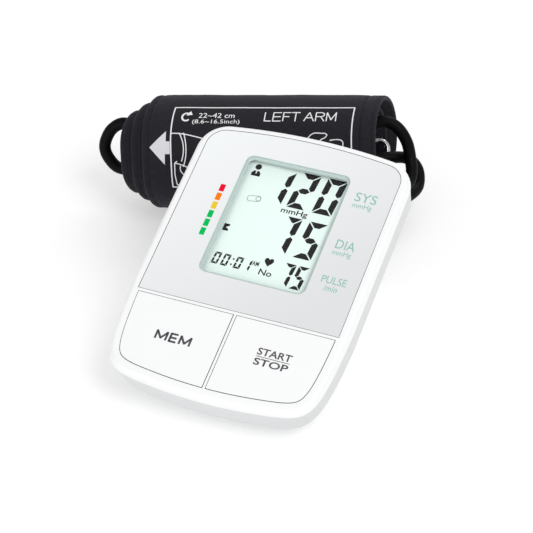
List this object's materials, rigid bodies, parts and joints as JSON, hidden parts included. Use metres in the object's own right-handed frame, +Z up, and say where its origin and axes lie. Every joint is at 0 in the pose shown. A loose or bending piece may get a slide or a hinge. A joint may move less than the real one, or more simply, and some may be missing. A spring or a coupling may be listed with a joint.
{
  "type": "blood pressure monitor",
  "caption": "Upper arm blood pressure monitor: tilted desk console with a display and two wide push buttons, joined by an air hose to its rolled fabric arm cuff.",
  "frame": {"origin": "on the table plane, under the middle of the whole object's bounding box", "axes": "+Z up, +Y from the user towards the back of the console, +X to the user's right"},
  "size_m": [0.1774, 0.2316, 0.0752],
  "materials": {
    "white_plastic": "satin moulded ABS",
    "grey_plastic": "fine-textured moulded ABS",
    "panel_plastic": "satin printed face panel",
    "clear_plastic": "clear acrylic window",
    "lcd": "pale green reflective liquid crystal display with dark segments",
    "black_plastic": "matt",
    "board_green": "solder mask over glass fibre",
    "steel": "nickel-plated",
    "rubber": "matt",
    "silicone": "translucent silicone tube",
    "hose_black": "smooth black air hose",
    "cuff_fabric": "fine woven nylon with white print",
    "cell_wrap": "plain printed sleeve"
  },
  "bodies": {
    "console": {"upper_case": "white_plastic", "lower_case": "grey_plastic", "display_panel": "panel_plastic", "display_window": "clear_plastic", "lcd_glass": "lcd", "lcd_frame": "black_plastic", "lcd_connector": "rubber", "main_board": "board_green", "mem_switch": "black_plastic", "start_stop_switch": "black_plastic", "buzzer": "black_plastic", "pressure_sensor": "black_plastic", "pump_motor": "steel", "pump_head": "black_plastic", "release_valve": "black_plastic", "air_manifold": "silicone", "air_jack": "black_plastic", "jack_tube": "silicone", "pump_tube": "silicone", "dc_socket": "black_plastic", "aa_cell_1": "cell_wrap", "aa_cell_2": "cell_wrap", "aa_cell_3": "cell_wrap", "aa_cell_4": "cell_wrap", "battery_spring_1": "steel", "battery_spring_2": "steel", "battery_spring_3": "steel", "battery_spring_4": "steel", "contact_left_1": "steel", "contact_left_2": "steel", "contact_left_4": "steel", "contact_right_1": "steel", "contact_right_3": "steel", "rubber_foot_1": "rubber", "rubber_foot_2": "rubber", "rubber_foot_3": "rubber", "rubber_foot_4": "rubber", "case_screw_1": "steel", "case_screw_2": "steel", "case_screw_3": "steel", "case_screw_4": "steel"},
    "mem_button": {"mem_button": "white_plastic"},
    "start_stop_button": {"start_stop_button": "white_plastic"},
    "battery_cover": {"battery_cover": "grey_plastic"},
    "pump_rotor": {"pump_shaft": "steel"},
    "valve_plunger": {"valve_plunger": "steel"},
    "cuff_set": {"cuff_wrap": "cuff_fabric", "cuff_bladder": "rubber", "hook_patch": "black_plastic", "cuff_port": "black_plastic", "air_hose": "hose_black", "air_plug": "black_plastic"},
    "cuff_ring": {"cuff_d_ring": "steel"}
  },
  "joints": [
    {"name": "mem_press", "type": "slide", "parent": "console", "child": "mem_button", "axis": [0, 0.3907, -0.9205], "range_m": [0, 0.0008], "stiffness_N_per_m": 600, "springref_m": -0.001},
    {"name": "start_stop_press", "type": "slide", "parent": "console", "child": "start_stop_button", "axis": [0, 0.3907, -0.9205], "range_m": [0, 0.0008], "stiffness_N_per_m": 600, "springref_m": -0.001},
    {"name": "battery_cover_swing", "type": "hinge", "parent": "console", "child": "battery_cover", "pos_m": [0.03552, -0.0656, 0.001], "axis": [-1, 0, 0], "range_deg": [0, 75], "stiffness_Nm_per_rad": 0.03, "springref_deg": -22.92},
    {"name": "pump_spin", "type": "hinge", "parent": "console", "child": "pump_rotor", "pos_m": [0.03752, -0.0134, 0.0352], "axis": [1, 0, 0], "continuous": true},
    {"name": "valve_stroke", "type": "slide", "parent": "console", "child": "valve_plunger", "axis": [1, 0, 0], "range_m": [0, 0.0009], "stiffness_N_per_m": 200, "springref_m": -0.001},
    {"name": "cuff_unplug", "type": "slide", "parent": "console", "child": "cuff_set", "axis": [0, 1, 0], "range_m": [0, 0.015]},
    {"name": "cuff_ring_swing", "type": "hinge", "parent": "cuff_set", "child": "cuff_ring", "pos_m": [-0.01974, 0.0767, 0.02656], "axis": [0.9245, 0.3811, 0], "range_deg": [-8, 8], "stiffness_Nm_per_rad": 0.02}
  ]
}
